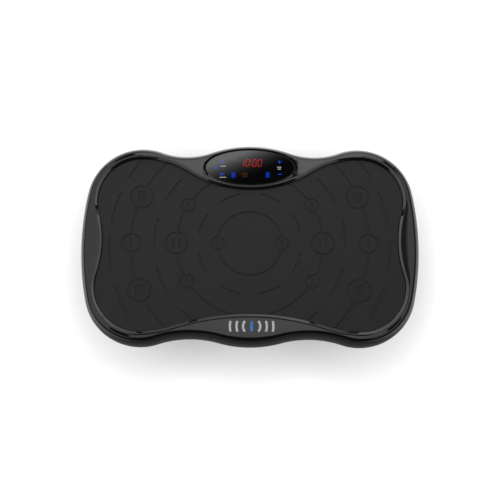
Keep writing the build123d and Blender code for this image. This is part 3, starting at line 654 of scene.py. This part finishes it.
def mat_surface(name):
    """Matte rubber, with painted shade: darker on the channels' floors and on their walls that face
    the user.
    """
    material, tree, shader = new_material(name)
    place = tree.nodes.new("ShaderNodeTexCoord")
    spot = tree.nodes.new("ShaderNodeSeparateXYZ")
    facing = tree.nodes.new("ShaderNodeSeparateXYZ")
    tree.links.new(place.outputs["Object"], spot.inputs[0])
    tree.links.new(place.outputs["Normal"], facing.inputs[0])
    # Painted shade: the channels' floors are darker in base colour, more the deeper they lie below the
    # mat's upper side
    # Heights below the CAD solid's top: the mat's own upper side lies MAT_SUNK below it
    deep, shallow, channel_shade_share = 1.1, 0.15, 0.42
    painted_channel_shade = ramp_between(tree, spot.outputs["Z"], (MAT_HIGH.z - deep) * MM,
                          (MAT_HIGH.z - shallow) * MM, channel_shade_share, 1.0)
    # Painted shade: channel walls that face the user and the right are darker in base colour, as walls
    # turned away from the overhead light
    toward_x, toward_y = 0.5, 0.85
    lean = math_node(tree, "SUBTRACT", math_node(tree, "MULTIPLY", facing.outputs["X"], toward_x),
                     math_node(tree, "MULTIPLY", facing.outputs["Y"], toward_y))
    painted_wall_shade = ramp_between(tree, lean, 0.08, 0.4, 1.0, 0.0)
    dark, light = 0.0195, 0.0235
    noise = add_noise(tree, PATCH_SCALE)
    tone = add_range(tree, noise.outputs["Fac"], dark, light)
    tone = math_node(tree, "MULTIPLY", tone, math_node(tree, "MULTIPLY", painted_channel_shade, painted_wall_shade))
    tree.links.new(tone, shader.inputs["Base Color"])
    grain = add_noise(tree, 1600)
    tree.links.new(add_range(tree, grain.outputs["Fac"], 0.62, 0.8), shader.inputs["Roughness"])
    add_bump(tree, shader, grain.outputs["Fac"], 0.12 * MM)
    return material


STEEL_DARK, STEEL_LIGHT = (0.5, 0.5, 0.48), (0.62, 0.62, 0.6)
BRONZE_DARK, BRONZE_LIGHT = (0.42, 0.24, 0.09), (0.52, 0.31, 0.13)
COPPER_DARK, COPPER_LIGHT = (0.62, 0.27, 0.14), (0.72, 0.34, 0.2)
GOLD_DARK, GOLD_LIGHT = (0.6, 0.48, 0.22), (0.7, 0.58, 0.3)
BOARD_DARK, BOARD_LIGHT = (0.006, 0.07, 0.03), (0.012, 0.11, 0.045)
LED_DARK, LED_LIGHT = (0.05, 0.004, 0.004), (0.08, 0.008, 0.008)
LAMP_DARK, LAMP_LIGHT = (0.1, 0.14, 0.5), (0.14, 0.2, 0.6)
METAL = 1.0

# Slot: dark tone, light tone, roughness range, scale of the grain, its depth in mm, metallic, IOR
SURFACES = {
    "cover_gloss": (grey(0.006), grey(0.008), (0.02, 0.035), 900, 0.002),
    "display_tint": (grey(0.0015), grey(0.002), (0.012, 0.02), 300, 0.0, 0.0, 1.6),
    "tub_plastic": (grey(0.018), grey(0.024), (0.45, 0.6), 1400, 0.08),
    "foot_rubber": (grey(0.014), grey(0.02), (0.6, 0.8), 700, 0.1),
    "black_plastic": (grey(0.02), grey(0.027), (0.35, 0.5), 900, 0.04),
    "gloss_black_plastic": (grey(0.01), grey(0.013), (0.1, 0.18), 900, 0.01),
    "zinc_steel": (STEEL_DARK, STEEL_LIGHT, (0.28, 0.42), 300, 0.02, METAL),
    "painted_steel": (grey(0.02), grey(0.028), (0.35, 0.5), 700, 0.05),
    "ground_steel": (grey(0.58), grey(0.66), (0.18, 0.3), 500, 0.01, METAL),
    "cast_alloy": (grey(0.5), grey(0.6), (0.4, 0.6), 260, 0.12, METAL),
    "bronze": (BRONZE_DARK, BRONZE_LIGHT, (0.3, 0.45), 500, 0.02, METAL),
    "copper": (COPPER_DARK, COPPER_LIGHT, (0.2, 0.35), 400, 0.01, METAL),
    "ferrite": (grey(0.03), grey(0.045), (0.5, 0.7), 500, 0.05),
    "carbon": (grey(0.012), grey(0.02), (0.55, 0.75), 900, 0.03),
    "lamination": (grey(0.25), grey(0.34), (0.4, 0.55), 900, 0.03, METAL),
    "circuit_board": (BOARD_DARK, BOARD_LIGHT, (0.25, 0.4), 500, 0.02),
    "board_component": (grey(0.02), grey(0.05), (0.35, 0.5), 200, 0.02),
    "led_face": (LED_DARK, LED_LIGHT, (0.3, 0.4), 400, 0.01),
    "lamp_face": (LAMP_DARK, LAMP_LIGHT, (0.1, 0.2), 300, 0.01),
    "contact_metal": (GOLD_DARK, GOLD_LIGHT, (0.2, 0.32), 400, 0.01, METAL),
}
MATERIALS = {name: surface(name, *look) for name, look in SURFACES.items()}
MATERIALS["mat_rubber"] = mat_surface("mat_rubber")


def lit_surface(name, colour, strength):
    """Mark lit from behind: a little uneven, as a diffuser is."""
    material, tree, shader = new_material(name)
    shader.inputs["Base Color"].default_value = (*[part * 0.02 for part in colour], 1)
    shader.inputs["Roughness"].default_value = 0.05
    shader.inputs["Emission Color"].default_value = (*colour, 1)
    noise = add_noise(tree, 500)
    tree.links.new(add_range(tree, noise.outputs["Fac"], strength * 0.9, strength * 1.1),
                   shader.inputs["Emission Strength"])
    return material


BLUE_DARK, BLUE_LIGHT = (0.02, 0.2, 0.6), (0.03, 0.24, 0.66)

MARK_PAINTS = {
    "readout_red": lit_surface("readout_red", (1.0, 0.02, 0.015), 0.42),
    "key_blue": lit_surface("key_blue", (0.03, 0.07, 1.0), 0.62),
    "tile_blue": lit_surface("tile_blue", (0.0, 0.07, 1.0), 0.2),
    "amber": lit_surface("amber", (1.0, 0.3, 0.05), 0.13),
    "label_white": surface("label_white", grey(0.5), grey(0.56), (0.4, 0.5), 700, 0.01),
    "emblem_white": surface("emblem_white", grey(0.62), grey(0.68), (0.35, 0.45), 700, 0.01),
    "emblem_blue": surface("emblem_blue", BLUE_DARK, BLUE_LIGHT, (0.35, 0.45), 700, 0.01),
}


def dress(obj, material):
    """Give the object this material alone."""
    obj.data.materials.clear()
    obj.data.materials.append(material)


# ------------------------------------------------------------- assembly
for entry in frame["record"]["subparts"]:
    dress(frame["nodes"][entry["node"]], MATERIALS[entry["material_slot"]])

for piece, node, slot in (
    (build_cover(), "top_cover", "cover_gloss"),
    (build_mat(), "rubber_mat", "mat_rubber"),
    (build_lens(), "display_lens", "display_tint"),
):
    dress(piece, MATERIALS[slot])
    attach(piece, "platform")
    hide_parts(node)

for piece, paint, slot in (
    (build_readout(), "readout_red", "led_face"),
    (build_key_marks(), "key_blue", "lamp_face"),
    (build_tiles(), "tile_blue", "lamp_face"),
    (build_amber_marks(), "amber", "lamp_face"),
    (build_labels(), "label_white", "display_tint"),
    (build_emblem(), "emblem_white", "cover_gloss"),
    (build_emblem_bar(), "emblem_blue", "cover_gloss"),
):
    dress(piece, MARK_PAINTS[paint])
    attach(piece, "platform")


# ------------------------------------------------------------- studio, in metres
# A ramp is (start, end, value at the start, value at the end)
CEILING = 1.8                                    # height of the overhead box
OVERHEAD = (-0.42, 0.48, -0.05, 1.5)             # (left, right, near, far)
LEFT_BOX = (-2.0, -0.49, -0.8, 1.5, 1.2, CEILING)    # the same, and the heights of its two sides
RIGHT_BOX = (0.53, 2.0, -0.8, 1.5, CEILING, 1.35)
SIDE_RADIANCE = 1.05
RIGHT_RAMP = (0.12, 0.62, SIDE_RADIANCE, 0.15)   # along the right box, outwards
NEAR_RAMP, MIDDLE_RAMP = (-0.05, 0.2, 1.2, 1.8), (0.15, 0.66, 0.0, 0.65)     # overhead, by y
FAR_FADE, CORNER_RAMP = (0.68, 0.95, 0.0, 1.0), (-0.42, 0.48, 1.05, 0.25)    # by y, and by x
LEFT_RAMP = (-0.42, 0.0, 0.86, 1.0)              # overhead, by x
FLAG_X, FLAG_SOFT = 0.171, 0.003                 # dark part of the overhead box, and its soft edge
FLAG_NEAR, FLAG_FAR, FLAG_END_SOFT = 0.43, 0.81, 0.01
FLAG_SLANT, FLAG_START, FLAG_RUN, FLAG_POWER = 0.46, 0.5643, 0.1325, 3.0
BACK_WIDTH, BACK_HEIGHT, BACK_DISTANCE, BACK_RADIANCE = 3.6, 1.8, 2.0, 1.7
FLOOR_REACH = 8.0
FLOOR_ALBEDO, FLOOR_MIRRORED = 0.3, 0.25         # as the camera sees it, and in reflections
FLOOR_GLOW = 0.97                                # to the camera
BEHIND_RAMP, BESIDE_RAMP = (0.05, 0.4, 0.1, 1.6), (0.26, 0.42, 0.0, 0.8)     # glow in reflections
PAINTED_SHADOW_REACH = 0.1                              # how far the painted contact shadow reaches, dimming the floor's glow near the object
WORLD_MIRRORED = 0.025
CAMERA_TILT, CAMERA_ROLL, CAMERA_DISTANCE = radians(11), radians(0.25), 1.3135
CAMERA_AIM_Y, CAMERA_LENS = -0.01288, 61.2


def build_floor():
    """Pale floor that glows, less in reflections than to the camera and less near the object, where a
    painted contact shadow dims it.
    """
    reach = FLOOR_REACH / MM
    corners = [(-reach, -reach, 0), (reach, -reach, 0), (reach, reach, 0), (-reach, reach, 0)]
    floor = mesh_object("floor", corners, [(0, 1, 2, 3)], smooth=False)
    material, tree, shader = new_material("floor_paint")
    seen = tree.nodes.new("ShaderNodeLightPath").outputs["Is Camera Ray"]
    noise = add_noise(tree, 3.0)
    tone = add_range(tree, noise.outputs["Fac"], 0.99, 1.0)
    share = math_node(tree, "MULTIPLY_ADD", seen, FLOOR_ALBEDO - FLOOR_MIRRORED, FLOOR_MIRRORED)
    tree.links.new(math_node(tree, "MULTIPLY", tone, share), shader.inputs["Base Color"])
    shader.inputs["Roughness"].default_value = 0.9
    shader.inputs["Specular IOR Level"].default_value = 0.1
    # Painted contact shadow: occlusion dims the floor's glow near the object
    painted_contact_shadow = tree.nodes.new("ShaderNodeAmbientOcclusion")
    painted_contact_shadow.inputs["Distance"].default_value = PAINTED_SHADOW_REACH
    painted_contact_shadow.samples = 8
    spot = tree.nodes.new("ShaderNodeSeparateXYZ")
    tree.links.new(tree.nodes.new("ShaderNodeTexCoord").outputs["Object"], spot.inputs[0])
    behind = ramp_between(tree, spot.outputs["Y"], *BEHIND_RAMP)
    beside = ramp_between(tree, math_node(tree, "ABSOLUTE", spot.outputs["X"]), *BESIDE_RAMP)
    mirrored = math_node(tree, "MAXIMUM", behind, beside)
    glow = math_node(tree, "MULTIPLY_ADD", math_node(tree, "SUBTRACT", 1.0, seen), mirrored,
                     math_node(tree, "MULTIPLY", seen, FLOOR_GLOW))
    shader.inputs["Emission Color"].default_value = (1, 1, 1, 1)
    tree.links.new(math_node(tree, "MULTIPLY", glow, painted_contact_shadow.outputs["AO"]),
                   shader.inputs["Emission Strength"])
    floor.data.materials.append(material)


def area_light(name, width, depth, radiance):
    """Rectangular lamp whose face has this radiance."""
    data = bpy.data.lights.new(name, "AREA")
    data.shape, data.size, data.size_y = "RECTANGLE", width, depth
    data.energy = pi * width * depth * radiance
    lamp = bpy.data.objects.new(name, data)
    bpy.context.scene.collection.objects.link(lamp)
    return lamp


def panel(name, left, right, near, far, high_left, high_right):
    """Soft box over the object, facing down.

    Gives its node tree and two sockets for the place on it, 0 to 1 across and along."""
    width, depth = right - left, far - near
    lamp = area_light(name, hypot(width, high_right - high_left), depth, 1.0)
    lamp.location = ((left + right) / 2, (near + far) / 2, (high_left + high_right) / 2)
    lamp.rotation_euler = (0, -atan2(high_right - high_left, width), 0)
    lamp.data.use_nodes = True
    tree = lamp.data.node_tree
    place = tree.nodes.new("ShaderNodeNewGeometry")
    split = tree.nodes.new("ShaderNodeSeparateXYZ")
    tree.links.new(place.outputs["Parametric"], split.inputs[0])
    return tree, split.outputs[0], split.outputs[1]


def set_radiance(tree, strength):
    """Multiply the lamp's light by a number or a socket."""
    emission = tree.nodes["Emission"]
    if isinstance(strength, (int, float)):
        emission.inputs["Strength"].default_value = strength
    else:
        tree.links.new(strength, emission.inputs["Strength"])


def flag_light(tree, x, y):
    """Share of the overhead box's light past the flag, which the display mirrors.

    It is darkest towards the front right."""
    slant = math_node(tree, "SUBTRACT", y, math_node(tree, "MULTIPLY", x, FLAG_SLANT))
    rise = math_node(tree, "MULTIPLY_ADD", slant, 1 / FLAG_RUN, -FLAG_START / FLAG_RUN, clamp=True)
    through = math_node(tree, "POWER", rise, FLAG_POWER)
    side = math_node(tree, "ABSOLUTE", x)
    inside_x = ramp_between(tree, side, FLAG_X - FLAG_SOFT, FLAG_X + FLAG_SOFT, 1.0, 0.0)
    near = ramp_between(tree, y, FLAG_NEAR - FLAG_END_SOFT, FLAG_NEAR + FLAG_END_SOFT, 0.0, 1.0)
    far = ramp_between(tree, y, FLAG_FAR - FLAG_END_SOFT, FLAG_FAR + FLAG_END_SOFT, 1.0, 0.0)
    inside = math_node(tree, "MULTIPLY", inside_x, math_node(tree, "MULTIPLY", near, far))
    shade = math_node(tree, "MULTIPLY", inside, math_node(tree, "SUBTRACT", 1.0, through))
    return math_node(tree, "SUBTRACT", 1.0, shade)


def build_overhead_box():
    """Box whose light grows towards the back and fades at its far end, most at the left."""
    left, right, near, far = OVERHEAD
    tree, across, along = panel("overhead", *OVERHEAD, CEILING, CEILING)
    x = math_node(tree, "MULTIPLY_ADD", across, right - left, left)
    y = math_node(tree, "MULTIPLY_ADD", along, far - near, near)
    rise = math_node(tree, "ADD", ramp_between(tree, y, *NEAR_RAMP),
                     ramp_between(tree, y, *MIDDLE_RAMP))
    loss = math_node(tree, "MULTIPLY", ramp_between(tree, y, *FAR_FADE),
                     ramp_between(tree, x, *CORNER_RAMP))
    glow = math_node(tree, "MULTIPLY", math_node(tree, "SUBTRACT", rise, loss),
                     ramp_between(tree, x, *LEFT_RAMP))
    set_radiance(tree, math_node(tree, "MULTIPLY", glow, flag_light(tree, x, y)))


def build_side_boxes():
    tree, _, _ = panel("left_box", *LEFT_BOX)
    set_radiance(tree, SIDE_RADIANCE)
    tree, across, _ = panel("right_box", *RIGHT_BOX)
    set_radiance(tree, ramp_between(tree, across, *RIGHT_RAMP))


def build_back_box():
    """Upright box behind the object, mirrored by its rear wall."""
    lamp = area_light("back_box", BACK_WIDTH, BACK_HEIGHT, BACK_RADIANCE)
    lamp.location = (0, BACK_DISTANCE, BACK_HEIGHT / 2)
    lamp.rotation_euler = (-pi / 2, 0, 0)


def build_world():
    """White to the camera and nearly black in reflections."""
    world = bpy.data.worlds.new("studio")
    world.use_nodes = True
    tree = world.node_tree
    background = tree.nodes["Background"]
    seen = tree.nodes.new("ShaderNodeLightPath").outputs["Is Camera Ray"]
    background.inputs["Color"].default_value = (1, 1, 1, 1)
    tree.links.new(math_node(tree, "MULTIPLY_ADD", seen, 1.0 - WORLD_MIRRORED, WORLD_MIRRORED),
                   background.inputs["Strength"])
    bpy.context.scene.world = world


def build_camera():
    """Nearly overhead, tipped to the user's side."""
    data = bpy.data.cameras.new("camera")
    data.sensor_width, data.lens = 36.0, CAMERA_LENS
    camera = bpy.data.objects.new("camera", data)
    aim = Vector((0, CAMERA_AIM_Y, MAT_HIGH.z * MM))
    away = Vector((0, -sin(CAMERA_TILT), cos(CAMERA_TILT)))
    turn = Matrix.Rotation(CAMERA_TILT, 4, "X") @ Matrix.Rotation(CAMERA_ROLL, 4, "Z")
    camera.matrix_world = Matrix.Translation(aim + away * CAMERA_DISTANCE) @ turn
    bpy.context.scene.collection.objects.link(camera)
    bpy.context.scene.camera = camera


build_floor()
build_world()
build_overhead_box()
build_side_boxes()
build_back_box()
build_camera()
bpy.context.scene.view_settings.view_transform = "Standard"
